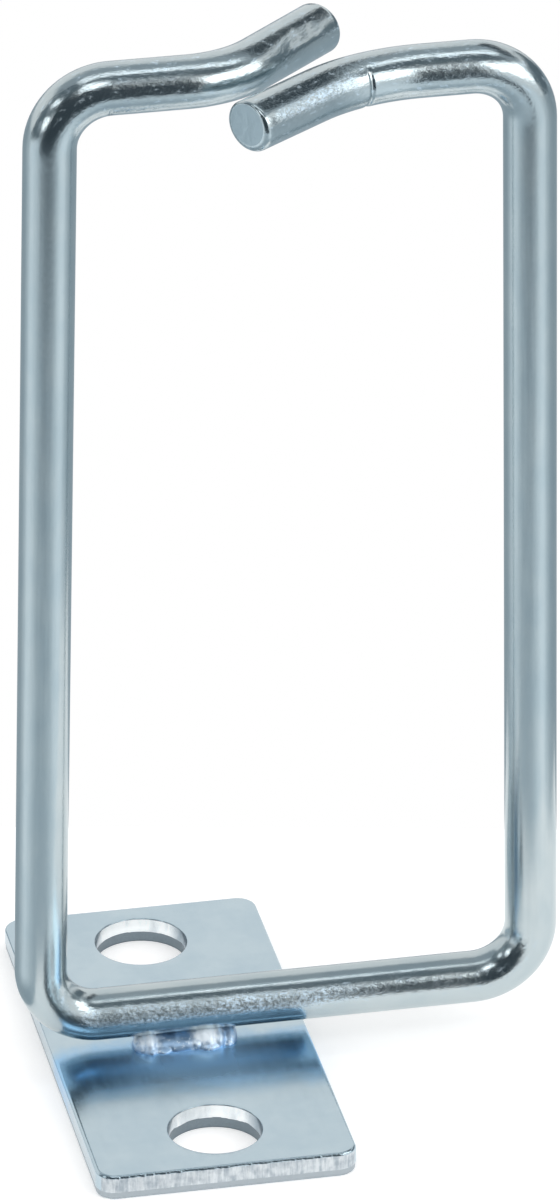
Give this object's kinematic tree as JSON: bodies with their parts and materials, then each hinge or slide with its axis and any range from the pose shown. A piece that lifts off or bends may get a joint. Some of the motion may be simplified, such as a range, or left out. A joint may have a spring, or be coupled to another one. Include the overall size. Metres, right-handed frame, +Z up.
{
  "type": "cable management ring",
  "caption": "Upright rectangular cable ring of bent round steel rod, open at the top by an oblique slot, welded to a flat base plate with screw holes.",
  "frame": {"origin": "midway between the two screw holes, on the underside of the base plate", "axes": "+X along the bottom bar away from the plate's side of the ring, +Y along the plate's long side, the way cables run through the ring, +Z up"},
  "size_m": [0.0422, 0.04, 0.0846],
  "materials": {
    "rod": "bright zinc plated, drawn rod",
    "plate": "bright zinc plated, satin",
    "weld": "bright zinc plated over rough weld metal"
  },
  "bodies": {
    "root": {"wire_ring": "rod", "base_plate": "plate", "weld_bead": "weld"}
  },
  "joints": []
}
